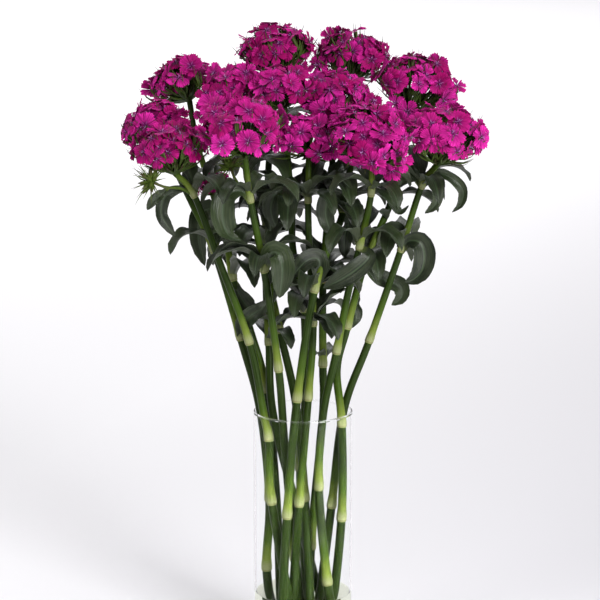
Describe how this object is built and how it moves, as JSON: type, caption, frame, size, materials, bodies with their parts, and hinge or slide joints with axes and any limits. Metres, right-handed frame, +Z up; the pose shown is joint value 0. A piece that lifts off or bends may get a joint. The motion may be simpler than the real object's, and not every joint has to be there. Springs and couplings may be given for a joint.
{
  "type": "bunch of sweet william (dianthus) in a glass vase",
  "caption": "Bunch of cut magenta sweet william stems with dense flower heads and dark leaves, standing in a clear glass cylinder vase with a little water.",
  "frame": {"origin": "centre of the vase's underside, on the surface that the vase stands on", "axes": "+Z up along the vase's axis, -Y towards the viewer of the picture, +X to the viewer's right"},
  "size_m": [0.3615, 0.2522, 0.6303],
  "materials": {
    "clear_glass": "clear, polished",
    "water": "clear liquid",
    "stem_and_leaf": "satin, natural plant tissue",
    "petal": "velvety, natural petal tissue"
  },
  "bodies": {
    "root": {"vase": "clear_glass", "water": "water", "stem_01": "stem_and_leaf", "stem_02": "stem_and_leaf", "stem_03": "stem_and_leaf", "stem_04": "stem_and_leaf", "stem_05": "stem_and_leaf", "stem_06": "stem_and_leaf", "stem_07": "stem_and_leaf", "stem_08": "stem_and_leaf", "stem_09": "stem_and_leaf", "stem_10": "stem_and_leaf", "stem_11": "stem_and_leaf", "stem_12": "stem_and_leaf", "stem_13": "stem_and_leaf", "bloom_01": "petal", "bloom_02": "petal", "bloom_03": "petal", "bloom_04": "petal", "bloom_05": "petal", "bloom_06": "petal", "bloom_07": "petal", "bloom_08": "petal", "bloom_09": "petal", "bloom_10": "petal", "bloom_11": "petal", "bloom_12": "petal", "bloom_13": "petal", "bloom_14": "petal"}
  },
  "joints": []
}
